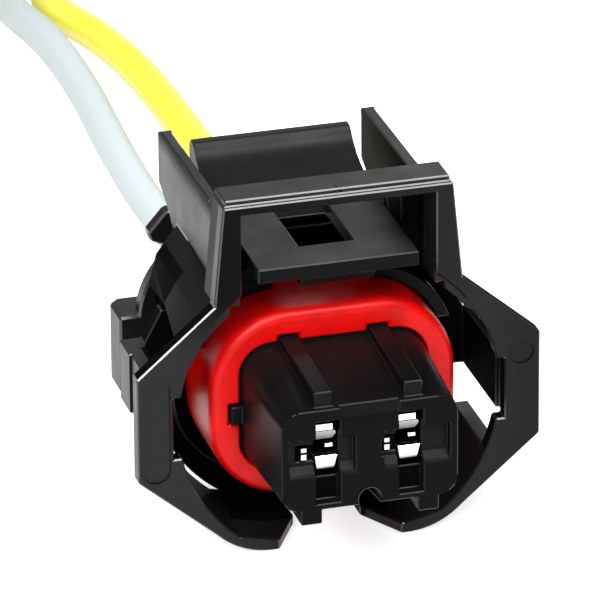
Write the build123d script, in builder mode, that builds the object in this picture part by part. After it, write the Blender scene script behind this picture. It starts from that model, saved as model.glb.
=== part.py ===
from build123d import *
import math
import os

# Two-wire connector pigtail, millimetres. The mating face is the XZ plane and the wires leave towards +Y.
# The origin is the middle of the mating face, level with the axis of the locking jaws.

# Terminals and wires
pitch = 5.6
wire_d = 2.5
core_d = 1.4
term_z = 0.35
contact_w = 2.3
contact_h = 3.5
contact_y = 1.3
contact_len = 7.6
blade_w = 1.5
blade_t = 0.8
sleeve_t = 0.2
barrel_t = 0.25
crimp_len = 2.6
core_y = 10.4
wire_y = 13.6
grip_len = 2.1
neck_lap = 0.5
lip_y = 0.6
lip_h = 0.5
lip_short = 0.3
lip_slant = 0.35
tier_y = 0.85
mouth_h = 1.1
mouth_len = 1.5
tongue_y = 1.0
tongue_z = 0.2
tongue_t = 0.25
tongue_w = 0.55
tongue_x = 0.3
tongue_len = 2.5
tongue_rise = 0.4
sleeve_set = 0.2
sleeve_short = 1.0
lug_out = 0.1
fit = 0.05
press = 0.02
over = 1.0

# Nose of the housing
nose_w = 11.9
nose_h = 7.1
nose_z = -0.2
nose_corner = 1.3
root_w = 12.6
root_h = 8.8
root_corner = 2.1
front_wall = 1.3
slot_w = 1.65
slot_top = 2.5
slot_foot = -3.35
slot_recess = 0.8
key_w = 1.25
key_x = 3.03
key_top = 4.45
key_root_top = 4.85
foot_key_w = 1.4
foot_key_x = 3.95
foot_key_z = -4.75
side_key_h = 1.25
side_key_x = 7.05
side_key_z = -0.3
side_key_lead = 0.3
notch_r = 0.75
lug_z = 0.1
lug_h = 0.9
lug_w = 1.2
lug_y = 0.6
lug_end = 1.8
key_start = 0.4
ramp_z = 1.6
ramp_y = 0.45
pocket_w = 1.0
pocket_wide = 1.8
pocket_y = 0.7
pocket_top = 1.3
pocket_side = -0.7
pocket_foot = -1.4
notch_z = -3.4
lug_gap = 0.1

# Face seal and the shroud round its root
seal_y = 8.5
seal_len = 6.5
seal_w = 16.8
seal_h = 13.2
seal_corner = 5.4
seal_gap = 0.12
lip_r = 0.7
shroud_y = 12.1
shroud_wall = 0.85
shroud_notch_w = 6.2
shroud_notch_len = 1.9
shroud_floor = 0.5
hood_z = 3.2
hood_len = 2.3
back_w = 16.4
back_h = 13.0
back_corner = 4.5
body_end = 23.0
hollow_w = 9.2
hollow_z = 4.2
hollow_y = 16.0
hollow_len = 5.6
foot_w = 18.6
foot_top = -1.8
foot_r = 10.8
foot_gap = 0.2
saddle_w = 0.5
saddle_end = 22.0

# Locking frame
jaw_y = 7.0
flange_t = 1.1
jaw_r = 10.95
jaw_wall = 1.05
jaw_depth = 7.7
jaw_top = -4.43
flank_x = 13.72
flank_h = 7.4
slope_deg = 40.6
sole_z = -9.8
tip_t = 0.75
tip_front_x = 4.2
tip_back_x = 2.3
tip_rise = 1.26
tip_corner_x = 6.85
tip_slant = 3.4
heel_x = 8.4
heel_z = -8.22
heel_mid_x = 6.6
heel_mid_z = -9.42
heel_in_x = 4.4
hook_h = 4.35
hook_x = 11.3
hook_z = -0.12
leg_in = 6.6
leg_foot_x = 8.4
leg_top_x = 7.75
bar_z = 14.5
bar_top = 15.5
bar_lip_z = 15.1
bar_lip = 0.35
bar_inset = 0.15
bar_depth = 2.8
cheek_t = 0.8
cheek_in = 6.65
cheek_end = 24.8
cheek_top = 13.45
cheek_foot = 7.9
cheek_back_z = 9.7
cheek_heel_y = 22.1
cheek_heel_z = 8.5
cheek_heel_in = 0.6
cheek_round = 0.5
shoulder_len = 2.2
shoulder_rise = 0.2
ridge_lap = 0.2
ridge_z = 8.85
roof_x = 8.9
roof_z = 6.75
roof_in = 0.56
roof_drop = 0.42
roof_end = 20.0
eave_x = 9.5
eave_z = 4.5
brow_x = 10.66
brow_z = 4.68
rail_in = 11.0
rail_out = 12.4
rail_foot = -2.0
rail_top = 2.3
rail_end = 16.6
rail_grip = 2.5
rail_step = 0.15
web_t = 1.1
web_gap = 0.1
label_w = 1.9
label_h = 7.6
label_x = 12.45
label_z = -0.1
mark_r = 0.85
mark_z = 2.35
relief = 0.15

# Release lever
lever_w = 10.9
lever_top = 10.45
lever_t = 1.0
lever_end = 24.2
lever_gap = 0.1
lever_bend = 0.6
belly_len = 4.0
belly_rise = 0.25
pivot_y = 16.6
pivot_z = 9.95
pivot_r = 0.75
pivot_reach = 7.1
boss_r = 1.5
boss_in = 5.65
lever_slot_w = 3.7
lever_slot_y = 10.15
lever_slot_len = 6.9
ridge_top = 12.9
ridge_t = 1.2
ridge_h = 1.9
ridge_round = 0.35
ridge_lean = 0.25
ridge_dip = 0.05
ridge_foot = 0.3
sweep_len = 3.4
sweep_rise = 0.75
catch_w = 5.0
catch_h = 0.7
catch_lead = 0.5
catch_len = 1.2

# Rear cover, lock slide and wire seals
cover_w = 14.4
cover_h = 12.5
cover_corner = 1.0
cover_len = 2.4
rim_w = 19.2
rim_h = 13.8
rim_corner = 6.4
rim_t = 1.2
rim_lap = 0.6
wing_out = 10.9
wing_in = 8.4
wing_root = 7.0
wing_back = 25.7
wing_bevel = 0.6
wing_top = 1.1
wing_foot = -4.5
ear_y = 24.2
ear_len = 1.1
ear_in = 6.6
ear_out = 8.4
ear_top = 7.7
ear_mid = 6.2
ear_foot = 5.3
ear_flat = 0.5
ear_side = 0.2
ear_rise = 0.3
ear_bevel = 0.9
plug_r = 2.4
plug_len = 4.6
plug_neck_r = 1.85
lip_count = 3
slide_y = 16.3
slide_len = 1.9
slide_z = -4.3
slide_h = 2.2
slide_in = 5.6
slide_head_h = 2.0
slide_head_t = 1.1
slide_head_grow = 1.0
tooth_h = 0.7
tooth_w = 2.0
keel_w = 1.6
keel_x = 4.0

# Coil of the put-away lead
coil_in = 8.45
coil_tracks = 4.5
coil_x = -6.0
coil_y = 127.0
entry_deg = -25.0
coil_turns = 1.25
lead_in_len = 7.0
tie_w = 3.6
tie_t = 1.0
tie_gap = 0.25
bare_len = 5.0
bare_d = 1.3
bare_lean = 30

# Values that follow
half_pitch = pitch / 2
wire_r = wire_d / 2
core_r = core_d / 2
floor_z = sole_z
lay_z = floor_z + wire_r
slope = math.tan(math.radians(slope_deg))
flank_top = flank_h / 2
flange_back = jaw_y + flange_t
jaw_back = jaw_y + jaw_depth
bar_back = jaw_y + bar_depth
bore_y = wire_y - 1.0
core_end = core_y + crimp_len
wire_grip_r = wire_r + press
seal_back = seal_y + seal_len
pocket_gap = 2 * seal_gap
body_w = seal_w + pocket_gap + 2 * shroud_wall
body_h = seal_h + pocket_gap + 2 * shroud_wall
body_corner = seal_corner + seal_gap + shroud_wall
shroud_end = seal_back + shroud_floor
back_half = back_w / 2
foot_y = jaw_back + foot_gap
cavity_w = contact_w + 2 * (sleeve_t + 2 * fit)
cavity_h = contact_h + 2 * (sleeve_t + 2 * fit)
contact_end = contact_y + contact_len
cheek_out = cheek_in + cheek_t
ridge_x = cheek_out - ridge_lap
roof_start = jaw_y + bar_lip
web_share = (roof_end - rail_end) / (roof_end - roof_start)
web_x = eave_x + (brow_x - eave_x) * web_share
web_z = eave_z + (brow_z - eave_z) * web_share
lever_y = jaw_y + lever_gap
lever_foot = lever_top - lever_t
ridge_y = lever_end - ridge_t
nose_top = nose_z + nose_h / 2
mouth_w = blade_w + 2 * fit
mouth_top = term_z + mouth_h / 2
mouth_foot = term_z - mouth_h / 2
lip_half = slot_w / 2 - fit
lip_top = term_z + contact_h / 2
lip_foot = term_z - contact_h / 2
tier_top = lip_top - lip_h
sides = {"left": -1, "right": 1}


def face(y):
    """A plane at y whose local axes are X and Z, facing the mating side."""
    return Plane(origin=(0, y, 0), x_dir=(1, 0, 0), z_dir=(0, -1, 0))


def side(x):
    """A plane at x whose local axes are Y and Z."""
    return Plane(origin=(x, 0, 0), x_dir=(0, 1, 0), z_dir=(1, 0, 0))


def rounded(y, w, h, r):
    """A rounded rectangle on the plane at y."""
    with BuildSketch(face(y)) as s:
        RectangleRounded(w, h, r)
    return s.sketch


def diagonal(x):
    """Height of the frame's upper sloping flank at x."""
    return flank_top + (flank_x - x) * slope


def nose_keys(grow, y0, y1):
    """The guide keys of the nose between two stations, grown by a clearance."""
    with BuildPart() as keys:
        for sx in (-1, 1):
            with BuildSketch(face(y0)):
                with Locations((sx * key_x, key_root_top / 2 + grow / 2)):
                    Rectangle(key_w + 2 * grow, key_root_top + grow)
                with Locations((sx * foot_key_x, foot_key_z / 2 - grow / 2)):
                    Rectangle(foot_key_w + 2 * grow, -foot_key_z + grow)
                with Locations((sx * (side_key_x + grow) / 2, side_key_z)):
                    Rectangle(side_key_x + grow, side_key_h + 2 * grow)
            extrude(amount=y0 - y1)
    return keys.part


def seal_pocket():
    """The room round the root of the nose, inside the shroud."""
    outside = rounded(shroud_y, seal_w + pocket_gap, seal_h + pocket_gap, seal_corner + seal_gap)
    ring = extrude(outside - rounded(shroud_y, root_w, root_h, root_corner), amount=shroud_y - seal_back)
    return ring - nose_keys(0, shroud_y, seal_back)


def roof_outline(y, sx, knee, edge):
    """Section of a roof at y, from the ridge over the knee down to its lower edge."""
    inner_ridge = (sx * ridge_x, ridge_z - 2 * roof_drop - roof_in)
    inner_knee = (sx * (knee[0] - roof_in), knee[1] - roof_drop)
    inner_edge = (sx * (edge[0] - roof_in), edge[1])
    with BuildSketch(face(y)) as s:
        with BuildLine():
            Polyline((sx * ridge_x, ridge_z), (sx * knee[0], knee[1]), (sx * edge[0], edge[1]),
                     inner_edge, inner_knee, inner_ridge, close=True)
        make_face()
    return s.sketch


# Shroud round the seal: a full ring at the floor, a hood with a notch above
with BuildPart() as shroud:
    add(extrude(rounded(shroud_y, body_w, body_h, body_corner), amount=shroud_y - shroud_end))
    with BuildSketch(face(shroud_y)):
        with Locations((0, hood_z - body_h)):
            Rectangle(2 * body_w, 2 * body_h)
    extrude(amount=-hood_len, mode=Mode.SUBTRACT)
    with BuildSketch(face(shroud_y)):
        with Locations((0, body_h / 2)):
            Rectangle(shroud_notch_w, 3 * shroud_wall)
    extrude(amount=-shroud_notch_len, mode=Mode.SUBTRACT)

pocket = seal_pocket()

# Housing: nose, shroud and rear body in one moulding
with BuildPart() as housing:
    with BuildSketch(face(0)):
        with Locations((0, nose_z)):
            RectangleRounded(nose_w, nose_h, nose_corner)
    with BuildSketch(face(seal_y)):
        RectangleRounded(root_w, root_h, root_corner)
    loft()
    add(extrude(rounded(seal_y, root_w, root_h, root_corner), amount=seal_y - seal_back))
    for sx in (-1, 1):
        with BuildSketch(side(sx * key_x)):
            with BuildLine():
                Polyline((key_start, 0), (key_start, key_top), (seal_y, key_root_top),
                         (seal_back, key_root_top), (seal_back, 0), close=True)
            make_face()
        extrude(amount=key_w / 2, both=True)
        with BuildSketch(side(sx * foot_key_x)):
            with BuildLine():
                Polyline((0, 0), (0, foot_key_z), (seal_back, foot_key_z), (seal_back, 0), close=True)
            make_face()
        extrude(amount=foot_key_w / 2, both=True)
    with BuildSketch(face(seal_y - side_key_lead)):
        with Locations((0, side_key_z)):
            Rectangle(2 * side_key_x, side_key_h)
    extrude(amount=seal_y - side_key_lead - seal_back)
    add(shroud.part)
    add(extrude(rounded(seal_back, back_w, back_h, back_corner), amount=seal_back - body_end))
    with BuildSketch(face(foot_y)):
        saddle_x = cheek_in + saddle_w / 2
        with Locations((-saddle_x, cheek_foot / 2), (saddle_x, cheek_foot / 2)):
            Rectangle(saddle_w, cheek_foot)
        with Locations((-keel_x, sole_z / 2), (keel_x, sole_z / 2)):
            Rectangle(keel_w, -sole_z)
    extrude(amount=foot_y - saddle_end)
    with BuildSketch(face(foot_y)):
        Circle(foot_r)
        with Locations((0, (sole_z + foot_top) / 2)):
            Rectangle(foot_w, foot_top - sole_z, mode=Mode.INTERSECT)
    extrude(amount=foot_y - shroud_end)
    add(pocket, mode=Mode.SUBTRACT)
    for sx in (-1, 1):
        with BuildSketch(face(0)):
            with Locations((sx * half_pitch, (slot_top + slot_foot) / 2)):
                Rectangle(slot_w, slot_top - slot_foot)
        extrude(amount=-slot_recess, mode=Mode.SUBTRACT)
        with BuildSketch(face(0)):
            with Locations((sx * half_pitch, term_z)):
                Rectangle(slot_w, cavity_h)
        extrude(amount=-front_wall, mode=Mode.SUBTRACT)
        with BuildSketch(face(0)):
            with Locations((sx * half_pitch - slot_w / 2 - lug_w / 2, lug_z)):
                Rectangle(lug_w, lug_h + 2 * lug_gap)
        extrude(amount=-lug_end, mode=Mode.SUBTRACT)
        with BuildSketch(face(contact_y)):
            with Locations((sx * half_pitch, term_z)):
                Rectangle(cavity_w, cavity_h)
        extrude(amount=contact_y - bore_y, mode=Mode.SUBTRACT)
        with BuildSketch(face(bore_y)):
            with Locations((sx * half_pitch, term_z)):
                Circle(plug_r + press)
        extrude(amount=bore_y - body_end, mode=Mode.SUBTRACT)
        for edge, width in ((half_pitch - slot_w / 2, -pocket_w), (half_pitch + slot_w / 2, pocket_wide)):
            with BuildSketch(side(sx * edge)):
                with BuildLine():
                    Polyline((0, pocket_top), (pocket_y, pocket_top), (pocket_y, pocket_side),
                             (0, pocket_foot), close=True)
                make_face()
            extrude(amount=sx * width, mode=Mode.SUBTRACT)
    with BuildSketch(side(0)):
        with BuildLine():
            Polyline((0, ramp_z), (ramp_y, nose_top + ramp_y), (0, nose_top + ramp_y), close=True)
        make_face()
    extrude(amount=half_pitch - slot_w / 2, both=True, mode=Mode.SUBTRACT)
    with BuildSketch(face(0)):
        with Locations((0, notch_z)):
            Circle(notch_r)
    extrude(amount=-seal_y, mode=Mode.SUBTRACT)
    with BuildSketch(side(-back_half - over)):
        with Locations((slide_y + slide_len / 2, slide_z + (slide_h + tooth_h) / 2)):
            Rectangle(slide_len + 2 * fit, slide_h + tooth_h + 2 * fit)
    extrude(amount=back_half + over + slide_in + fit, mode=Mode.SUBTRACT)
    with BuildSketch(Plane.XY.offset(hollow_z)):
        with Locations((0, hollow_y + hollow_len / 2)):
            Rectangle(hollow_w, hollow_len)
    extrude(amount=back_h, mode=Mode.SUBTRACT)
housing.part.label = "housing"

# Face seal: thick silicone ring, keyed to the nose and rounded at its front rim
with BuildPart() as face_seal:
    add(extrude(rounded(seal_y, seal_w, seal_h, seal_corner), amount=-seal_len))
    front_rim = face_seal.edges().group_by(Axis.Y)[0]
    fillet(front_rim, lip_r)
    inside = rounded(seal_y, root_w + pocket_gap, root_h + pocket_gap, root_corner + seal_gap)
    add(extrude(inside, amount=-seal_len), mode=Mode.SUBTRACT)
    add(nose_keys(seal_gap, seal_y, seal_back), mode=Mode.SUBTRACT)
face_seal.part.label = "face_seal"

# Roofs beside the cheeks, flaring forwards to the flange
roofs = {}
for sx in (-1, 1):
    front_knee = ((ridge_x + brow_x) / 2, (ridge_z + brow_z) / 2)
    sections = [roof_outline(roof_start, sx, front_knee, (brow_x, brow_z)),
                roof_outline(roof_end, sx, (roof_x, roof_z), (eave_x, eave_z))]
    roofs[sx] = loft(sections, ruled=True)

# Locking frame: flange with two C-shaped jaws, portal, cheeks, roof and side rails, in one moulding
with BuildPart() as locking_frame:
    with BuildSketch(face(jaw_y)) as flange:
        with BuildLine():
            Polyline((0, bar_lip_z), (leg_top_x, bar_lip_z), (leg_foot_x, diagonal(leg_foot_x)),
                     (flank_x, flank_top), (flank_x, -flank_top), (heel_x, heel_z))
            ThreePointArc((heel_x, heel_z), (heel_mid_x, heel_mid_z), (heel_in_x, sole_z))
            Polyline((heel_in_x, sole_z), (0, sole_z), (0, bar_lip_z))
        make_face()
        with BuildLine():
            Polyline((0, bar_z), (leg_in, bar_z), (leg_in, 0), (0, 0), close=True)
        make_face(mode=Mode.SUBTRACT)
        with BuildLine():
            Polyline((0, sole_z + tip_t), (heel_in_x, sole_z + tip_t), (tip_corner_x, sole_z + tip_rise),
                     (tip_corner_x, 0), (0, 0), close=True)
        make_face(mode=Mode.SUBTRACT)
        with BuildSketch(mode=Mode.PRIVATE) as bore:
            Circle(jaw_r)
            with Locations((0, sole_z)):
                Rectangle(2 * jaw_r, 2 * tip_rise, mode=Mode.SUBTRACT)
        add(bore.sketch, mode=Mode.SUBTRACT)
        with Locations((0, hook_z)):
            Rectangle(2 * hook_x, hook_h, mode=Mode.SUBTRACT)
        mirror(about=Plane.YZ)
    extrude(amount=-flange_t)
    with BuildSketch(face(jaw_y)) as jaws:
        add(flange.sketch)
        Circle(jaw_r + jaw_wall, mode=Mode.INTERSECT)
        with Locations((0, jaw_top + bar_top)):
            Rectangle(2 * flank_x, 2 * bar_top, mode=Mode.SUBTRACT)
    extrude(amount=-jaw_depth)
    for sx in (-1, 1):
        with BuildSketch(Plane.XY.offset(sole_z - over)):
            with BuildLine():
                Polyline((0, jaw_y - over), (sx * tip_front_x, jaw_y - over), (sx * tip_front_x, jaw_y),
                         (sx * tip_back_x, jaw_y + tip_slant), (sx * tip_back_x, jaw_back + over),
                         (0, jaw_back + over), close=True)
            make_face()
        extrude(amount=2 * over + tip_t, mode=Mode.SUBTRACT)
    with BuildSketch(face(roof_start)):
        with Locations((0, (bar_z + bar_top) / 2)):
            Rectangle(2 * (leg_top_x - bar_inset), bar_top - bar_z)
    extrude(amount=-(bar_depth - bar_lip))
    for sx in (-1, 1):
        with BuildSketch(face(roof_start)):
            with BuildLine():
                Polyline((sx * leg_in, cheek_foot), (sx * leg_foot_x, diagonal(leg_foot_x)),
                         (sx * leg_top_x, bar_lip_z), (sx * leg_in, bar_lip_z), close=True)
            make_face()
        extrude(amount=-(bar_depth - bar_lip))
        with BuildSketch(side(sx * cheek_in)):
            with BuildLine():
                Polyline((bar_back - over, cheek_foot), (bar_back - over, bar_lip_z), (bar_back, bar_lip_z),
                         (bar_back + shoulder_len, cheek_top + shoulder_rise),
                         (cheek_end - cheek_round, cheek_top))
                TangentArc((cheek_end - cheek_round, cheek_top), (cheek_end, cheek_top - cheek_round),
                           tangent=(1, 0))
                Polyline((cheek_end, cheek_top - cheek_round), (cheek_end, cheek_back_z),
                         (cheek_heel_y, cheek_heel_z), (cheek_heel_y - cheek_heel_in, cheek_foot),
                         (bar_back - over, cheek_foot))
            make_face()
        extrude(amount=sx * cheek_t)
        add(roofs[sx])
        with BuildSketch(face(flange_back)):
            with Locations((sx * (rail_in + rail_out - rail_step) / 2, (rail_foot + rail_top) / 2)):
                Rectangle(rail_out - rail_step - rail_in, rail_top - rail_foot)
        extrude(amount=flange_back - rail_end)
        with BuildSketch(face(rail_end - rail_grip)):
            with Locations((sx * (rail_in + rail_out) / 2, (rail_foot + rail_top) / 2)):
                Rectangle(rail_out - rail_in, rail_top - rail_foot)
        extrude(amount=-rail_grip)
        with BuildSketch(face(rail_end - web_t)):
            with BuildLine():
                Polyline((sx * (back_half + web_gap), rail_foot), (sx * rail_in, rail_foot),
                         (sx * rail_in, rail_top), (sx * web_x, web_z), (sx * (web_x - roof_in), web_z),
                         (sx * (back_half + web_gap), rail_top), close=True)
            make_face()
        extrude(amount=-web_t)
        with BuildSketch(side(sx * cheek_in)):
            with Locations((pivot_y, pivot_z)):
                Circle(boss_r)
        extrude(amount=sx * (boss_in - cheek_in))
        with BuildSketch(side(sx * boss_in)):
            with Locations((pivot_y, pivot_z)):
                Circle(pivot_r + fit)
        extrude(amount=sx * (pivot_reach + fit - boss_in), mode=Mode.SUBTRACT)
    with BuildSketch(face(jaw_y)):
        with Locations((-label_x, label_z)):
            SlotOverall(label_h, label_w, rotation=90)
    extrude(amount=-relief, mode=Mode.SUBTRACT)
    with BuildSketch(face(jaw_y)):
        with Locations((label_x, mark_z)):
            Circle(mark_r)
    extrude(amount=-relief, mode=Mode.SUBTRACT)
locking_frame.part.label = "locking_frame"

# Release lever: plate with a slot, thumb ridge and pivot pins
with BuildPart() as release_lever:
    with BuildSketch(side(0)):
        with BuildLine():
            Polyline((pivot_y + lever_bend, lever_top), (lever_y, lever_top), (lever_y, lever_foot),
                     (pivot_y, lever_foot), (pivot_y + belly_len, lever_foot + belly_rise),
                     (lever_end, ridge_top - ridge_h), (lever_end, ridge_top - ridge_round),
                     (lever_end - ridge_round, ridge_top), (ridge_y + ridge_lean, ridge_top - ridge_dip),
                     (ridge_y, ridge_top - ridge_foot))
            Spline((ridge_y, ridge_top - ridge_foot), (lever_end - sweep_len, lever_top + sweep_rise),
                   (pivot_y + lever_bend, lever_top), tangents=[(-0.6, -1), (-1, 0)])
        make_face()
    extrude(amount=lever_w / 2, both=True)
    with BuildSketch(Plane.XY.offset(lever_foot - over)):
        with Locations((0, lever_slot_y + lever_slot_len / 2)):
            Rectangle(lever_slot_w, lever_slot_len)
    extrude(amount=lever_t + 2 * over, mode=Mode.SUBTRACT)
    with BuildSketch(side(0)):
        with BuildLine():
            Polyline((lever_y, lever_foot), (lever_y + catch_lead, lever_foot - catch_h),
                     (lever_y + catch_len, lever_foot - catch_h), (lever_y + catch_len, lever_foot), close=True)
        make_face()
    extrude(amount=catch_w / 2, both=True)
    for sx in (-1, 1):
        with BuildSketch(side(sx * (lever_w / 2 - over))):
            with Locations((pivot_y, pivot_z)):
                Circle(pivot_r)
        extrude(amount=sx * (pivot_reach - lever_w / 2 + over))
release_lever.part.label = "release_lever"

# Rear cover: rim round the body's end, a block with two wire holes, side lugs and two ears
with BuildPart() as rear_cover:
    rim_y = body_end - rim_lap
    add(extrude(rounded(rim_y, rim_w, rim_h, rim_corner), amount=-rim_t))
    lap = rounded(rim_y, back_w + 2 * fit, back_h + 2 * fit, back_corner + fit)
    add(extrude(lap, amount=-rim_lap), mode=Mode.SUBTRACT)
    add(extrude(rounded(body_end, cover_w, cover_h, cover_corner), amount=-cover_len))
    for sx in (-1, 1):
        with BuildSketch(Plane.XY.offset(wing_foot)):
            with BuildLine():
                Polyline((sx * wing_root, body_end), (sx * wing_in, body_end), (sx * wing_in, rim_y),
                         (sx * wing_out, rim_y), (sx * wing_out, wing_back - wing_bevel),
                         (sx * (wing_out - wing_bevel), wing_back), (sx * wing_root, wing_back), close=True)
            make_face()
        extrude(amount=wing_top - wing_foot)
        with BuildSketch(face(ear_y)):
            with BuildLine():
                Polyline((sx * ear_in, ear_top), (sx * (ear_in + ear_flat), ear_top),
                         (sx * ear_out, ear_mid), (sx * (ear_out - ear_side), ear_foot + ear_rise),
                         (sx * (ear_out - ear_bevel), ear_foot), (sx * ear_in, ear_foot), close=True)
            make_face()
        extrude(amount=-ear_len)
    for sx in (-1, 1):
        with BuildSketch(face(body_end)):
            with Locations((sx * half_pitch, term_z)):
                Circle(wire_r + 2 * fit)
        extrude(amount=-cover_len, mode=Mode.SUBTRACT)
rear_cover.part.label = "rear_cover"

# Lock slide: bar across the housing under the terminals, with a head on the left flank
with BuildPart() as lock_slide:
    with BuildSketch(side(-back_half)):
        with Locations((slide_y + slide_len / 2, slide_z + slide_h / 2)):
            Rectangle(slide_len, slide_h)
    extrude(amount=back_half + slide_in)
    with BuildSketch(side(-back_half)):
        with Locations((slide_y + slide_len / 2, slide_z + slide_h / 2)):
            Rectangle(slide_len + slide_head_grow, slide_head_h)
    extrude(amount=-slide_head_t)
    with BuildSketch(face(slide_y)):
        with Locations((-half_pitch, slide_z + slide_h), (half_pitch, slide_z + slide_h)):
            Rectangle(tooth_w, 2 * tooth_h)
    extrude(amount=-slide_len)
lock_slide.part.label = "lock_slide"

small_parts = {}
for name, sx in sides.items():
    axis_x = sx * half_pitch

    # Terminal: contact box with a mouth for the blade, neck and two crimp barrels
    with BuildPart() as terminal:
        with BuildSketch(face(contact_y)):
            with Locations((axis_x, term_z)):
                Rectangle(contact_w, contact_h)
        extrude(amount=-contact_len)
        with BuildSketch(face(lip_y)):
            with BuildLine():
                Polyline((axis_x - lip_half, lip_top), (axis_x + lip_half - lip_short, lip_top),
                         (axis_x + lip_half - lip_short, tier_top), (axis_x - lip_half, tier_top),
                         close=True)
            make_face()
            with BuildLine():
                Polyline((axis_x - lip_half, mouth_foot), (axis_x + lip_half, mouth_foot),
                         (axis_x + lip_half - lip_short, lip_foot),
                         (axis_x - lip_half + lip_short / 2, lip_foot), close=True)
            make_face()
        extrude(amount=lip_y - contact_y)
        chamfer(terminal.edges().group_by(Axis.Y)[0].sort_by(Axis.Z)[0], lip_slant)
        with BuildSketch(face(tier_y)):
            with BuildLine():
                Polyline((axis_x - lip_half, tier_top), (axis_x + lip_half - lip_short / 2, tier_top),
                         (axis_x + lip_half, (tier_top + mouth_top) / 2),
                         (axis_x + lip_half - lip_short, mouth_top), (axis_x - lip_half, mouth_top),
                         close=True)
            make_face()
        extrude(amount=tier_y - contact_y)
        with BuildSketch(face(contact_y)):
            with Locations((axis_x, term_z)):
                Rectangle(mouth_w, mouth_h)
        extrude(amount=-mouth_len, mode=Mode.SUBTRACT)
        with BuildSketch(face(contact_y)):
            with Locations((axis_x, term_z)):
                Rectangle(mouth_w, blade_t)
        extrude(amount=-contact_len, mode=Mode.SUBTRACT)
        with BuildSketch(side(axis_x + tongue_x)):
            with BuildLine():
                Polyline((tongue_y, tongue_z), (tongue_y, tongue_z + tongue_t),
                         (tongue_y + tongue_len, tongue_z + tongue_t + tongue_rise),
                         (tongue_y + tongue_len, tongue_z + tongue_rise), close=True)
            make_face()
        extrude(amount=tongue_w / 2, both=True)
        with BuildSketch(side(axis_x)):
            with BuildLine():
                Polyline((contact_end - neck_lap, term_z - core_r - fit), (core_end, term_z - core_r - fit),
                         (wire_y, term_z - wire_grip_r), (wire_y, term_z - wire_grip_r - barrel_t),
                         (core_end, term_z - core_r - fit - barrel_t),
                         (contact_end - neck_lap, term_z - core_r - fit - barrel_t), close=True)
            make_face()
        extrude(amount=contact_w / 4, both=True)
        with BuildSketch(face(wire_y)):
            with Locations((axis_x, term_z)):
                Circle(wire_grip_r + barrel_t)
                Circle(wire_grip_r, mode=Mode.SUBTRACT)
        extrude(amount=-grip_len)
        with BuildSketch(face(core_y)):
            with Locations((axis_x, term_z)):
                Circle(core_r + fit + barrel_t)
                Circle(core_r + fit, mode=Mode.SUBTRACT)
        extrude(amount=-crimp_len)
    small_parts["terminal_" + name] = terminal.part

    # Spring sleeve: steel box round the contact, with a lug on its left wall
    with BuildPart() as sleeve:
        with BuildSketch(face(contact_y + sleeve_set)):
            with Locations((axis_x, term_z)):
                Rectangle(contact_w + 2 * (fit + sleeve_t), contact_h + 2 * (fit + sleeve_t))
                Rectangle(contact_w + 2 * fit, contact_h + 2 * fit, mode=Mode.SUBTRACT)
        extrude(amount=sleeve_short - contact_len)
        with BuildSketch(face(lug_y)):
            with Locations((axis_x - contact_w / 2 - fit - sleeve_t - lug_out, lug_z)):
                Rectangle(2 * sleeve_t, lug_h)
        extrude(amount=lug_y - lug_end + lug_gap)
    small_parts["spring_sleeve_" + name] = sleeve.part

    # Conductor inside the crimp
    with BuildPart() as core:
        with BuildSketch(face(core_y)):
            with Locations((axis_x, term_z)):
                Circle(core_r)
        extrude(amount=core_y - wire_y)
    small_parts["conductor_" + name] = core.part

    # Wire seal: plug with lips in its own bore
    with BuildPart() as plug:
        with BuildSketch(face(body_end - plug_len)):
            with Locations((axis_x, term_z)):
                Circle(plug_neck_r)
        extrude(amount=-plug_len)
        lip_len = plug_len / (2 * lip_count)
        for i in range(lip_count):
            with BuildSketch(face(body_end - plug_len + (2 * i + 0.5) * lip_len)):
                with Locations((axis_x, term_z)):
                    Circle(plug_r)
            extrude(amount=-lip_len)
        with BuildSketch(face(body_end - plug_len)):
            with Locations((axis_x, term_z)):
                Circle(wire_r + press)
        extrude(amount=-plug_len, mode=Mode.SUBTRACT)
    small_parts["wire_seal_" + name] = plug.part

# Wires: straight runs joined by tangent arcs, from the crimp to the coil
entry = Vector(math.cos(math.radians(entry_deg)), math.sin(math.radians(entry_deg)), 0)
lead_in = Vector(entry.Y, -entry.X, 0) * lead_in_len
coil_hub = Vector(coil_x, coil_y, lay_z)
coil_out = coil_in + coil_tracks * wire_d
yellow_r = coil_out - wire_r
white_r = yellow_r - wire_d
white_gate = coil_hub + entry * white_r + lead_in
yellow_gate = coil_hub + entry * yellow_r + lead_in
white_route = [(-half_pitch, wire_y, term_z), (-half_pitch, 29.0, term_z), (-3.6, 42.0, -0.1), (-3.0, 55.0, -0.6),
               (-1.9, 67.0, -1.4), (-1.5, 79.0, -2.3), (-1.6, 89.0, -4.1), (-0.6, 98.5, -6.5),
               (2.0, 107.5, -8.3), tuple(white_gate)]
yellow_route = [(half_pitch, wire_y, term_z), (half_pitch, 30.0, term_z), (2.5, 44.0, 0.1), (2.6, 57.0, -0.4),
                (2.9, 69.0, -1.4), (2.4, 80.0, -2.7), (1.8, 89.0, -4.5), (2.6, 97.5, -6.7),
                (4.9, 105.5, -8.3), tuple(yellow_gate)]


def corner_radii(route):
    """Arc at each inner point: 0.45 of the shorter run over the tangent of half the turn."""
    points = [Vector(*p) for p in route]
    radii = []
    for before, at, after in zip(points, points[1:], points[2:]):
        turn = (at - before).get_angle(after - at)
        radii.append(0.45 * min((at - before).length, (after - at).length) / math.tan(math.radians(turn / 2)))
    return radii


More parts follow.
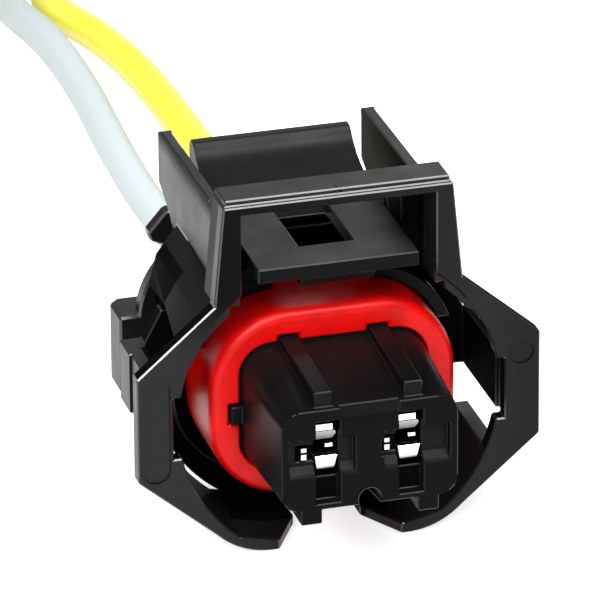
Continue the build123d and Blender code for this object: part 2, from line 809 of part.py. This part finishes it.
wires = {}
for name, route in (("wire_white", white_route), ("wire_yellow", yellow_route)):
    radii = corner_radii(route)
    with BuildPart() as wire:
        with BuildLine() as path:
            FilletPolyline(*route, radius=radii)
        with BuildSketch(Plane(origin=route[0], z_dir=(0, 1, 0))):
            Circle(wire_r)
        sweep(path=path.wires()[0])
    wires[name] = wire.part
    ideal = math.pi * wire_r**2 * path.wires()[0].length
    print(name, "length", round(path.wires()[0].length, 1), "radii", [round(r, 1) for r in radii],
          "volume ratio", round(wire.part.volume / ideal, 4))

# Coil of the put-away lead: both wires in flat turns, one closed ring
with BuildPart() as wire_coil:
    with BuildSketch(Plane.XY.offset(floor_z)):
        with Locations((coil_x, coil_y)):
            Circle(coil_out)
            Circle(coil_in, mode=Mode.SUBTRACT)
    extrude(amount=wire_d)

# Tie round the coil, with its head on top
with BuildPart() as coil_tie:
    with BuildSketch(Plane(origin=(coil_x, coil_y, 0), x_dir=(1, 0, 0), z_dir=(0, -1, 0))):
        with Locations((-(coil_in + coil_out) / 2, floor_z + wire_r)):
            Rectangle(coil_out - coil_in + 2 * (tie_t + tie_gap), wire_d + 2 * tie_t)
            Rectangle(coil_out - coil_in + 2 * tie_gap, wire_d, mode=Mode.SUBTRACT)
        with Locations((-(coil_in + coil_out) / 2, floor_z - tie_t / 2)):
            Rectangle(2 * coil_out, tie_t, mode=Mode.SUBTRACT)
    extrude(amount=tie_w / 2, both=True)

# Stripped strands where each wire ends inside the coil
ends = {}
for name, start_r, after in (("white", white_r, 0), ("yellow", yellow_r, 50)):
    end_deg = entry_deg + 360 * coil_turns + after
    radius = start_r - 2 * wire_d * (end_deg - entry_deg) / 360
    out = Vector(math.cos(math.radians(end_deg)), math.sin(math.radians(end_deg)), 0)
    along = Vector(-out.Y, out.X, 0)
    heading = along * math.cos(math.radians(bare_lean)) - out * math.sin(math.radians(bare_lean))
    with BuildPart() as strands:
        with BuildSketch(Plane(origin=coil_hub + out * radius, z_dir=heading)):
            Circle(bare_d / 2)
        extrude(amount=bare_len)
    ends["bare_end_" + name] = strands.part

os.makedirs("parts", exist_ok=True)
pieces = {"housing": housing.part, "face_seal": face_seal.part, "locking_frame": locking_frame.part,
          "release_lever": release_lever.part, "rear_cover": rear_cover.part, "lock_slide": lock_slide.part,
          **small_parts, **wires, "wire_coil": wire_coil.part, "coil_tie": coil_tie.part, **ends}
for name, solid in pieces.items():
    solid.label = name
    export_step(solid, "parts/" + name + ".step")
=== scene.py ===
import math

import bmesh
import bpy
from mathutils import Matrix, Vector


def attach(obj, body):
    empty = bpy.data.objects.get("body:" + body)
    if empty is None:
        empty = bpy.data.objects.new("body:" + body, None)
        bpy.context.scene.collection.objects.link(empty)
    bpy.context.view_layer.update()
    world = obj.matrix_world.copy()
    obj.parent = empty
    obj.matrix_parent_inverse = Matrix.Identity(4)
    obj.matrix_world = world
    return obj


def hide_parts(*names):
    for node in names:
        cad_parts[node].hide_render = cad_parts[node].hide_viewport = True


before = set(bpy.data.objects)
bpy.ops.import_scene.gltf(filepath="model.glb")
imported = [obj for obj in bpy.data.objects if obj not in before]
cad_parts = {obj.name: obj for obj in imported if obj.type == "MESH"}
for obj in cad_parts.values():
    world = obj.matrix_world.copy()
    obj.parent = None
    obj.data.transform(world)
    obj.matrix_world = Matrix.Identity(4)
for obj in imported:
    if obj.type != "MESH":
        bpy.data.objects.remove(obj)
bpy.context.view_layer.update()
MM = 0.001

# Sizes shared with the part's source, in millimetres
WIRE_D = 2.5
FLOOR_Z = -9.8
COVER_END = 25.4
LAY_Z = FLOOR_Z + WIRE_D / 2
HUB = Vector((-6.0, 127.0, LAY_Z))
ENTRY_DEG = -25.0
WHITE_R = 15.95
YELLOW_R = 18.45
LEAD_IN = 7.0
COIL_DEG = 450
YELLOW_EXTRA = 50
STEP_DEG = 15
STEP_GROWTH = 1.004

# Places on the mouldings where painted shade darkens a finish, in millimetres
CHEEK_IN = 6.7
CHEEK_MIDDLE = (7.3, 7.6)
CHEEK_TOP = (12.2, 13.3)
PORTAL_BACK = 9.9
LEG_Z = (5.5, 8.5)
FLANGE_FRONT = 7.0
FLANGE_BACK = 8.05
FLANGE_CORNER = (13.72, 3.7)
FLANGE_SLOPE = 0.857
WEB_FRONT = (14.8, 15.2)
WEB_OUT = 10.95
WEB_TOP = 7.4
WALL_X = (9.9, 11.4)
WALL_Z = (-4.4, 2.5)
ROOF_IN = 7.5
ROOF_Z = (3.0, 4.0)
SLOT_X = (1.9, 3.7)
SLOT_Z = (-3.3, 2.45)
SLOT_Y = (0.75, 4.0)
BODY_FRONT = (14.0, 15.6)
TIER_Y = (0.7, 0.95)
TIER_Z = (0.9, 1.5)
TIER_GAP_Z = (1.5, 1.6)
FOOT_Y = 1.1
FOOT_Z = (-1.1, -0.7)
BOX_IN = (1.1, 1.3)
BOX_BACK = 9.0
LUG_BACK = (0.62, 0.8)
LUG_LINE_Z = (0.05, 0.22)
LUG_TOP = 0.5

# Width of the worn edges, in millimetres
WEAR = {
    "locking_frame": 0.09, "housing": 0.07, "release_lever": 0.08, "rear_cover": 0.15, "lock_slide": 0.1,
    "face_seal": 0.12, "terminal": 0.04, "spring_sleeve": 0.03, "wire_seal": 0.1, "coil_tie": 0.15,
}

# The ribs that close the channel between the body's corners and the roofs
RIB_OUTLINE = [(8.25, 2.3), (9.3, 4.5), (8.7, 5.9), (7.8, 6.9), (7.3, 7.3), (7.3, 4.9), (7.9, 3.9)]
RIB_FRONT = 15.5
RIB_DEPTH = 1.1

# Studio
FLOOR_HALF = 3.0
FLOOR_DROP = 0.02
FLOOR_GLOW = 0.72
ROOM_LIGHT = 0.25

# Lamps: place and size in metres, power in watts; all face the origin
LAMPS = {
    "key_softbox": ((-0.25, -0.56, 0.35), (0.35, 0.35), 1.6),
    "top_softbox": ((-0.1, -0.225, 0.4), (0.5, 0.25), 2.6),
    "back_softbox": ((0.3, 0.66, 0.31), (0.3, 0.25), 0.42),
    "left_strip": ((-0.385, -0.28, 0.362), (0.1, 0.1), 1.0),
    "edge_strip": ((0.11, -0.19, 0.4), (0.24, 0.12), 0.8),
}

# Camera, fitted to the connector's mirrored corners
TURN_DEG = -15.72
LIFT_DEG = 24.38
ROLL_DEG = -0.40
LENS = 443.1
AIM = (-2.683, 7.0, 8.066)
DISTANCE = 0.480


def mm(*values):
    """Millimetres to metres, as a vector."""
    return Vector([v * MM for v in values])


class Value:
    """A socket of a finish. Arithmetic on it adds Math nodes."""

    def __init__(self, finish, socket):
        self.finish = finish
        self.socket = socket

    def maths(self, operation, a, b=0.0, clamp=False):
        settings = {"operation": operation, "use_clamp": clamp}
        return self.finish.node("ShaderNodeMath", settings, {0: a, 1: b})

    def __add__(self, other):
        return self.maths("ADD", self, other)

    def __sub__(self, other):
        return self.maths("SUBTRACT", self, other)

    def __rsub__(self, other):
        return self.maths("SUBTRACT", other, self)

    def __mul__(self, other):
        return self.maths("MULTIPLY", self, other)

    def clamp(self):
        """The value kept between 0 and 1."""
        return self.maths("ADD", self, 0.0, True)

    def above(self, edge):
        """1 where the value is over the edge, else 0."""
        return self.maths("GREATER_THAN", self, edge)

    def within(self, low, high):
        return self.above(low) * (1.0 - self.above(high))

    def size(self):
        """The value without its sign."""
        return self.maths("ABSOLUTE", self)


class Finish:
    """A procedural material. Patterns read Object coordinates in millimetres."""

    def __init__(self, name):
        self.material = bpy.data.materials.new(name)
        self.material.use_nodes = True
        self.tree = self.material.node_tree
        self.tree.nodes.clear()
        place = self.node("ShaderNodeTexCoord", {}, {}, "Object")
        self.place = self.node("ShaderNodeVectorMath", {"operation": "SCALE"}, {0: place, "Scale": 1 / MM})

    def node(self, kind, settings, sockets, out=0):
        """Adds a node: first its settings, then the values or links of its sockets."""
        made = self.tree.nodes.new(kind)
        for key, value in settings.items():
            setattr(made, key, value)
        for key, value in sockets.items():
            if isinstance(value, Value):
                self.tree.links.new(value.socket, made.inputs[key])
            elif isinstance(value, (tuple, list)) and len(value) == 3 and made.inputs[key].type == "RGBA":
                made.inputs[key].default_value = (*value, 1)
            else:
                made.inputs[key].default_value = value
        return Value(self, made.outputs[out])

    def axis(self, name):
        """One coordinate of the place, in millimetres."""
        return self.node("ShaderNodeSeparateXYZ", {}, {"Vector": self.place}, name)

    def stretch(self, x, y, z):
        """Place with each axis scaled, for streaks."""
        return self.node("ShaderNodeMapping", {}, {"Vector": self.place, "Scale": (x, y, z)})

    def noise(self, scale, detail=3.0, rough=0.5, place=None):
        sockets = {"Vector": place or self.place, "Scale": scale, "Detail": detail, "Roughness": rough}
        return self.node("ShaderNodeTexNoise", {}, sockets)

    def spots(self, scale):
        return self.node("ShaderNodeTexVoronoi", {}, {"Vector": self.place, "Scale": scale})

    def span(self, value, low, high, to_low=0.0, to_high=1.0):
        """Value from low to high taken to another range, clamped."""
        sockets = {"Value": value, 1: low, 2: high, 3: to_low, 4: to_high}
        return self.node("ShaderNodeMapRange", {"clamp": True}, sockets)

    def blend(self, share, a, b):
        """Colour a where share is 0 and b where it is 1."""
        return self.node("ShaderNodeMix", {"data_type": "RGBA"}, {0: share, 6: a, 7: b}, 2)

    def bump(self, height, strength, depth):
        sockets = {"Height": height, "Strength": strength, "Distance": depth * MM}
        return self.node("ShaderNodeBump", {}, sockets)

    def mix(self, share, a, b):
        """Shader a where share is 0 and b where it is 1."""
        return self.node("ShaderNodeMixShader", {}, {0: share, 1: a, 2: b})

    def surface(self, **sockets):
        """Principled shader with these sockets."""
        named = {key.replace("_", " "): value for key, value in sockets.items()}
        return self.node("ShaderNodeBsdfPrincipled", {}, named)

    def done(self, **sockets):
        """The material, with one Principled shader."""
        return self.output(self.surface(**sockets))

    def output(self, surface):
        end = self.tree.nodes.new("ShaderNodeOutputMaterial")
        self.tree.links.new(surface.socket, end.inputs["Surface"])
        return self.material


def moulded_black(name, shade, gloss, grain, ior=1.5, painted_shade_mask=None):
    """Filled black plastic: fine moulded grain, faint flow clouds and dust specks, and painted shade, a darker,
    less reflective copy where the mask gives it.
    """
    f = Finish(name)
    cloud = f.noise(0.35, 4)
    fine = f.noise(9.0, 4, 0.6)
    speck = f.spots(2.4)
    dust = f.span(speck, 0.03, 0.07, 1.0, 0.0) * f.span(f.noise(1.1, 2), 0.55, 0.7)
    dark = (shade * 0.8, shade * 0.8, shade * 0.85)
    light = (shade * 1.25, shade * 1.25, shade * 1.35)
    tint = f.blend(cloud, dark, light)
    colour = f.blend(dust * 0.25, tint, (0.12, 0.12, 0.12))
    rough = f.span(cloud + fine * 0.35, 0.4, 0.9, gloss - 0.05, gloss + 0.07)
    normal = f.bump(fine, grain, 0.03)
    skin = f.surface(Base_Color=colour, Roughness=rough, Normal=normal, IOR=ior)
    if painted_shade_mask:
        # Painted shade: darker, less reflective plastic, mixed in by the mask
        painted_shade_skin = f.surface(Base_Color=(0.002, 0.002, 0.0023), Roughness=0.7, Normal=normal, IOR=1.07)
        skin = f.mix(painted_shade_mask(f), skin, painted_shade_skin)
    return f.output(skin)


def frame_painted_shade(f):
    """Painted shade on the frame, between the cheeks, on the webs, walls, legs, roofs, cheek tops, the flange's
    slope and the right arm's front; from 0 for the plain finish to 1 for the dark, dull copy.
    """
    x, y, z = f.axis("X"), f.axis("Y"), f.axis("Z")
    wide = x.size()
    between_cheeks = f.span(wide, CHEEK_IN - 0.01, CHEEK_IN + 0.01, 0.85, 0.0) * y.above(PORTAL_BACK)
    web = (1.0 - wide.above(WEB_OUT)) * f.span(y, *WEB_FRONT) * (1.0 - z.above(WEB_TOP))
    walls = wide.within(*WALL_X) * y.within(FLANGE_FRONT + 0.2, 15.0) * z.within(*WALL_Z)
    legs = (1.0 - y.above(FLANGE_FRONT + 0.3)) * f.span(z, *LEG_Z) * f.span(x, -8.0, 8.0, 0.85, 0.35)
    roofs = wide.above(ROOF_IN) * f.span(y, FLANGE_BACK + 0.05, FLANGE_BACK + 0.25) * f.span(z, *ROOF_Z) * 0.6
    cheek_tops = wide.within(*CHEEK_MIDDLE) * f.span(z, *CHEEK_TOP) * f.span(y, 9.8, 10.4) * 0.8
    above_slope = z - FLANGE_CORNER[1] + (wide - FLANGE_CORNER[0]) * FLANGE_SLOPE
    slope = above_slope.within(-0.06, 0.06) * y.within(FLANGE_FRONT + 0.1, FLANGE_BACK)
    front = (1.0 - y.above(FLANGE_FRONT + 0.2)) * (1.0 - z.above(6.0))
    right_arm = front * f.span(x, 8.0, 13.0, 0.0, 0.4)
    return (between_cheeks + web + walls + legs + roofs + cheek_tops + slope + right_arm).clamp()


def housing_painted_shade(f):
    """Painted shade on the housing's slots, its body behind the seal and, at half strength, its front face."""
    x, y, z = f.axis("X").size(), f.axis("Y"), f.axis("Z")
    slots = y.within(*SLOT_Y) * z.within(*SLOT_Z) * x.within(*SLOT_X)
    face = (1.0 - y.above(0.2)) * 0.5
    return (y.within(*BODY_FRONT) + slots + face).clamp()


def lever_painted_shade(f):
    """Painted shade on the lever's front end, in the shade of the portal."""
    return (1.0 - f.axis("Y").above(FLANGE_FRONT + 0.15)) * 0.7


def silicone(name, deep, bright, gloss, ior=1.4):
    """Moulded silicone: soft depth, faint cloud and fine skin."""
    f = Finish(name)
    cloud = f.noise(0.6, 3)
    skin = f.noise(6.0, 3, 0.6)
    colour = f.blend(f.span(cloud, 0.3, 0.7), deep, bright)
    rough = f.span(skin, 0.3, 0.7, gloss - 0.06, gloss + 0.08)
    normal = f.bump(skin, 0.12, 0.03)
    return f.done(Base_Color=colour, Roughness=rough, Normal=normal, IOR=ior)


def contact_painted_shade(f):
    """Painted shade on the inside of a contact box, its foot, the gap between its tiers and the second tier's
    lower half.
    """
    y, z = f.axis("Y"), f.axis("Z")
    tier = y.within(*TIER_Y) * f.span(z, *TIER_Z, 0.9, 0.6)
    foot = (1.0 - y.above(FOOT_Y)) * f.span(z, *FOOT_Z, 0.85, 0.0)
    gap = f.span(z, *TIER_GAP_Z, 0.9, 0.0) * z.above(TIER_GAP_Z[0] - 0.05)
    inside = f.span(y, *BOX_IN) * (1.0 - y.above(BOX_BACK))
    return (tier + foot + gap + inside).clamp()


def sleeve_painted_shade(f):
    """Painted shade on the sleeve behind its lug and above the lug's top, and a dark line across the lug."""
    y, z = f.axis("Y"), f.axis("Z")
    return (f.span(y, *LUG_BACK) + z.within(*LUG_LINE_Z) + z.above(LUG_TOP)).clamp()


def plated(name, colour_a, colour_b, gloss, streak, painted_shade_mask=None):
    """Bright metal strip: rolling streaks and a few dull patches, and painted shade where the mask gives it."""
    f = Finish(name)
    rolled = f.noise(3.0, 4, 0.6, f.stretch(*streak))
    patch = f.noise(1.3, 3)
    colour = f.blend(f.span(patch, 0.35, 0.65), colour_a, colour_b)
    rough = f.span(rolled + patch * 0.5, 0.5, 1.0, gloss - 0.06, gloss + 0.12)
    normal = f.bump(rolled, 0.15, 0.02)
    skin = f.surface(Base_Color=colour, Metallic=1.0, Roughness=rough, Normal=normal)
    if painted_shade_mask:
        # Painted shade: a dark, dull surface in place of the metal, mixed in by the mask
        dark = f.surface(Base_Color=(0.003, 0.003, 0.003), Roughness=0.6, Normal=normal, IOR=1.1)
        skin = f.mix(painted_shade_mask(f), skin, dark)
    return f.output(skin)


def insulation(name, body, stain, gloss):
    """Extruded wire insulation: smooth, with faint long waves and handling marks."""
    f = Finish(name)
    wave = f.noise(0.25, 3)
    skin = f.noise(4.0, 4, 0.55)
    mark = f.span(f.noise(0.8, 4, 0.6), 0.6, 0.78) * 0.3
    colour = f.blend(mark, body, stain)
    rough = f.span(skin + wave * 0.4, 0.4, 1.0, gloss - 0.05, gloss + 0.1)
    normal = f.bump(skin, 0.1, 0.03)
    return f.done(Base_Color=colour, Roughness=rough, Normal=normal)


BLACK_FRAME = moulded_black("black_frame_plastic", 0.007, 0.36, 0.16, 1.27, frame_painted_shade)
BLACK_HOUSING = moulded_black("black_housing_plastic", 0.004, 0.34, 0.12, 1.17, housing_painted_shade)
BLACK_LEVER = moulded_black("black_lever_plastic", 0.009, 0.36, 0.14, 1.24, lever_painted_shade)
BLACK_COVER = moulded_black("black_cover_plastic", 0.006, 0.34, 0.12, 1.25)
# Edge finishes: lighter, glossier copies of the blacks for the worn edges; the lighter colour is painted
# highlight, the gloss catches the lamps
FRAME_EDGE = moulded_black("frame_plastic_edges", 0.012, 0.2, 0.01, 1.6)
HOUSING_EDGE = moulded_black("housing_plastic_edges", 0.005, 0.28, 0.04, 1.21)
LEVER_EDGE = moulded_black("lever_plastic_edges", 0.012, 0.34, 0.05, 1.3)
BLACK_SLIDE = moulded_black("black_slide_plastic", 0.02, 0.36, 0.16)
RED = silicone("red_silicone_finish", (0.5, 0.0015, 0.001), (0.68, 0.002, 0.0012), 0.36, 1.34)
GREEN = silicone("green_silicone_finish", (0.03, 0.18, 0.08), (0.06, 0.27, 0.13), 0.4)
TIN = plated("tin_plating", (0.74, 0.73, 0.7), (0.9, 0.89, 0.87), 0.22, (4.0, 0.6, 4.0), contact_painted_shade)
STEEL = plated("spring_steel_strip", (0.55, 0.55, 0.56), (0.7, 0.7, 0.7), 0.28, (4.0, 0.4, 4.0), sleeve_painted_shade)
COPPER = plated("copper_strand", (0.72, 0.3, 0.16), (0.85, 0.42, 0.26), 0.26, (1.0, 1.0, 1.0))
WHITE = insulation("white_wire_insulation", (0.58, 0.65, 0.67), (0.47, 0.51, 0.52), 0.42)
YELLOW = insulation("yellow_wire_insulation", (0.98, 0.9, 0.06), (0.9, 0.6, 0.02), 0.34)
NYLON = insulation("natural_nylon", (0.72, 0.72, 0.68), (0.6, 0.58, 0.5), 0.42)


def paint(piece, finish):
    """Gives a piece its material."""
    piece.data.materials.clear()
    piece.data.materials.append(finish)
    return piece


def paint_node(node, finish):
    """Gives a shown CAD node a better material."""
    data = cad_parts[node].data
    data.materials.clear()
    data.materials.append(finish)


def link(mesh, name):
    """A new object at the origin with this mesh."""
    piece = bpy.data.objects.new(name, mesh)
    bpy.context.scene.collection.objects.link(piece)
    return piece


def thin(edge, width):
    """True where the edge, or a face beside it, is too small for a rounding of this width."""
    length = edge.calc_length()
    return length < 1.5 * width or any(face.calc_area() < 2.6 * width * length for face in edge.link_faces)


def soften(node, name, body, finish, angle=28, edge=None):
    """A copy of a node with worn edges, in the node's place. Edges over this angle wear; edge is their finish, a
    lighter, glossier copy of the black that paints a highlight along them.
    """
    width = WEAR[node.removesuffix("_left").removesuffix("_right")]
    mesh = bmesh.new()
    mesh.from_mesh(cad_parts[node].data)
    bmesh.ops.remove_doubles(mesh, verts=mesh.verts, dist=2e-6)
    bmesh.ops.dissolve_limit(mesh, angle_limit=math.radians(0.6), verts=mesh.verts, edges=mesh.edges)
    corner = math.radians(angle)
    sharp = [e for e in mesh.edges if len(e.link_faces) == 2 and e.calc_face_angle(0) > corner]
    worn = [e for e in sharp if not thin(e, width * MM)]
    bmesh.ops.triangulate(mesh, faces=mesh.faces)
    made = bmesh.ops.bevel(mesh, geom=worn, offset=width * MM, segments=1, profile=0.5, affect="EDGES",
                           clamp_overlap=False, material=-1)
    narrow = set(made["faces"])
    for face in mesh.faces:
        face.smooth = face not in narrow
        face.material_index = int(face in narrow and edge is not None)
    for line in mesh.edges:
        beside = [face in narrow for face in line.link_faces]
        line.smooth = len(beside) == 2 and not any(beside) and line.calc_face_angle(0) < corner
    data = bpy.data.meshes.new(name)
    data.materials.append(finish)
    if edge:
        data.materials.append(edge)
    mesh.to_mesh(data)
    mesh.free()
    piece = link(data, name)
    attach(piece, body)
    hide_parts(node)
    return piece


def rib(name, side):
    """The frame's web where it closes the channel between the body's corner and the roof."""
    count = len(RIB_OUTLINE)
    points = [mm(side * x, y, z) for y in (RIB_FRONT, RIB_FRONT + RIB_DEPTH) for x, z in RIB_OUTLINE]
    ends = [tuple(range(count)), tuple(range(count, 2 * count))]
    walls = [(i, (i + 1) % count, (i + 1) % count + count, i + count) for i in range(count)]
    data = bpy.data.meshes.new(name)
    data.from_pydata(points, [], ends + walls)
    mesh = bmesh.new()
    mesh.from_mesh(data)
    bmesh.ops.recalc_face_normals(mesh, faces=mesh.faces)
    mesh.to_mesh(data)
    mesh.free()
    piece = link(data, name)
    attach(piece, "connector")
    return paint(piece, BLACK_FRAME)


def wire_spline(points, radius):
    """One smooth open spline through a wire's route, with round insulation of this radius."""
    curve = bpy.data.curves.new("route", "CURVE")
    curve.dimensions = "3D"
    curve.bevel_depth = radius * MM
    curve.bevel_resolution = 8
    curve.resolution_u = 8
    curve.use_fill_caps = True
    spline = curve.splines.new("NURBS")
    spline.points.add(len(points) - 1)
    for point, at in zip(spline.points, points):
        point.co = (*mm(*at), 1)
    spline.order_u = 3
    spline.use_endpoint_u = True
    return bpy.data.objects.new("route", curve)


def wire_tube(name, points, finish):
    """A wire as a closed tube, and the points that its middle follows."""
    route = wire_spline(points, 0)
    middle = bpy.data.meshes.new_from_object(route)
    path = [tuple(v.co) for v in middle.vertices]
    tube = bpy.data.meshes.new_from_object(wire_spline(points, WIRE_D / 2))
    tube.name = name
    mesh = bmesh.new()
    mesh.from_mesh(tube)
    bmesh.ops.remove_doubles(mesh, verts=mesh.verts, dist=1e-6)
    bmesh.ops.recalc_face_normals(mesh, faces=mesh.faces)
    mesh.to_mesh(tube)
    mesh.free()
    piece = link(tube, name)
    tube.shade_smooth()
    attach(piece, "connector")
    return paint(piece, finish), path


def around(radius, degrees):
    """A point of the flat coil."""
    turn = math.radians(degrees)
    return (HUB.x + radius * math.cos(turn), HUB.y + radius * math.sin(turn), LAY_Z)


def coil_turns(start_r, total):
    """Points of one wire's turns, closing in by two wires a turn. STEP_GROWTH offsets the cut corners."""
    steps = round(total / STEP_DEG)
    points = []
    for i in range(steps + 1):
        degrees = total * i / steps
        radius = (start_r - 2 * WIRE_D * degrees / 360) * STEP_GROWTH
        points.append(around(radius, ENTRY_DEG + degrees))
    return points


def gate(radius):
    """Where a wire's loose run meets the coil, a little before the first turn."""
    entry = math.radians(ENTRY_DEG)
    out = Vector((math.cos(entry), math.sin(entry), 0))
    before = Vector((out.y, -out.x, 0)) * LEAD_IN
    return tuple(HUB + out * radius + before)


# Wires
white_run = [(-2.8, 13.6, 0.35), (-2.8, 29.0, 0.35), (-3.6, 42.0, -0.1), (-3.0, 55.0, -0.6), (-1.9, 67.0, -1.4),
             (-1.5, 79.0, -2.3), (-1.6, 89.0, -4.1), (-0.6, 98.5, -6.5), (2.0, 107.5, -8.3), gate(WHITE_R)]
yellow_run = [(2.8, 13.6, 0.35), (2.8, 30.0, 0.35), (2.5, 44.0, 0.1), (2.6, 57.0, -0.4), (2.9, 69.0, -1.4),
              (2.4, 80.0, -2.7), (1.8, 89.0, -4.5), (2.6, 97.5, -6.7), (4.9, 105.5, -8.3), gate(YELLOW_R)]
white_points = white_run + coil_turns(WHITE_R, COIL_DEG)
yellow_points = yellow_run + coil_turns(YELLOW_R, COIL_DEG + YELLOW_EXTRA)
white_wire, white_path = wire_tube("white_wire", white_points, WHITE)
yellow_wire, yellow_path = wire_tube("yellow_wire", yellow_points, YELLOW)
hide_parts("wire_white", "wire_coil")
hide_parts("wire_yellow", "wire_coil")
for strands in ("bare_end_white", "bare_end_yellow"):
    paint_node(strands, COPPER)
tie = soften("coil_tie", "coil_tie_strap", "connector", NYLON)
mm(-2.8, COVER_END, 0.35)
mm(2.8, COVER_END, 0.35)

# Moulded and stamped pieces
rib("frame_web_left", -1)
rib("frame_web_right", 1)
soften("locking_frame", "locking_frame_moulding", "connector", BLACK_FRAME, edge=FRAME_EDGE)
soften("housing", "housing_moulding", "connector", BLACK_HOUSING, edge=HOUSING_EDGE)
soften("release_lever", "release_lever_moulding", "lever", BLACK_LEVER, edge=LEVER_EDGE)
soften("rear_cover", "rear_cover_moulding", "connector", BLACK_COVER, edge=FRAME_EDGE)
soften("lock_slide", "lock_slide_moulding", "slide", BLACK_SLIDE)
soften("face_seal", "face_seal_moulding", "connector", RED, 40)
for side in ("left", "right"):
    soften("terminal_" + side, "terminal_box_" + side, "connector", TIN)
    soften("spring_sleeve_" + side, "spring_sleeve_box_" + side, "connector", STEEL)
    soften("wire_seal_" + side, "wire_seal_plug_" + side, "connector", GREEN)
    paint_node("conductor_" + side, COPPER)


# Studio
def studio_floor():
    """A pale floor that takes the shadow and looks white to the camera, in mirrors and through glass."""
    mesh = bmesh.new()
    bmesh.ops.create_grid(mesh, x_segments=2, y_segments=2, size=FLOOR_HALF)
    bmesh.ops.translate(mesh, verts=mesh.verts, vec=mm(0, 0, FLOOR_Z - FLOOR_DROP))
    data = bpy.data.meshes.new("studio_floor")
    mesh.to_mesh(data)
    mesh.free()
    floor = link(data, "studio_floor")
    f = Finish("pale_floor")
    pale = f.node("ShaderNodeBsdfDiffuse", {}, {"Color": (0.8, 0.8, 0.8)})
    glow = f.node("ShaderNodeEmission", {}, {"Color": (1, 1, 1), "Strength": FLOOR_GLOW})
    both = f.node("ShaderNodeAddShader", {}, {0: pale, 1: glow})
    dim = f.node("ShaderNodeBsdfDiffuse", {}, {"Color": (0.45, 0.45, 0.45)})
    rays = [f.node("ShaderNodeLightPath", {}, {}, kind) for kind in ("Is Camera Ray", "Is Glossy Ray",
                                                                     "Is Transmission Ray")]
    seen = (rays[0] + rays[1] + rays[2]).clamp()
    f.output(f.mix(seen, dim, both))
    data.materials.append(f.material)


def studio_world():
    """Soft light from all round."""
    world = bpy.data.worlds.new("soft_room")
    bpy.context.scene.world = world
    world.use_nodes = True
    tree = world.node_tree
    back = tree.nodes["Background"]
    back.inputs["Color"].default_value = (1, 1, 1, 1)
    back.inputs["Strength"].default_value = ROOM_LIGHT


def lamp(name, at, size, power):
    """A soft lamp that faces the origin."""
    data = bpy.data.lights.new(name, "AREA")
    data.shape = "RECTANGLE"
    data.size, data.size_y = size
    data.energy = power
    lit = bpy.data.objects.new(name, data)
    lit.location = at
    lit.rotation_mode = "QUATERNION"
    lit.rotation_quaternion = (-Vector(at)).to_track_quat("-Z", "Y")
    bpy.context.scene.collection.objects.link(lit)


def camera_view():
    """The photograph's view."""
    turn, lift, roll = math.radians(TURN_DEG), math.radians(LIFT_DEG), math.radians(ROLL_DEG)
    back = Vector((math.sin(turn) * math.cos(lift), -math.cos(turn) * math.cos(lift), math.sin(lift)))
    right = Vector((math.cos(turn), math.sin(turn), 0))
    up = back.cross(right)
    across = right * math.cos(roll) + up * math.sin(roll)
    upward = up * math.cos(roll) - right * math.sin(roll)
    data = bpy.data.cameras.new("view")
    data.lens = LENS
    data.sensor_width = 36
    data.clip_start = 0.01
    data.clip_end = 20
    camera = bpy.data.objects.new("view", data)
    place = Matrix((across, upward, back)).transposed().to_4x4()
    place.translation = mm(*AIM) + back * DISTANCE
    camera.matrix_world = place
    bpy.context.scene.collection.objects.link(camera)
    bpy.context.scene.camera = camera


studio_floor()
studio_world()
for name, (at, size, power) in LAMPS.items():
    lamp(name, at, size, power)
camera_view()
bpy.context.scene.view_settings.view_transform = "Standard"

bpy.context.view_layer.update()
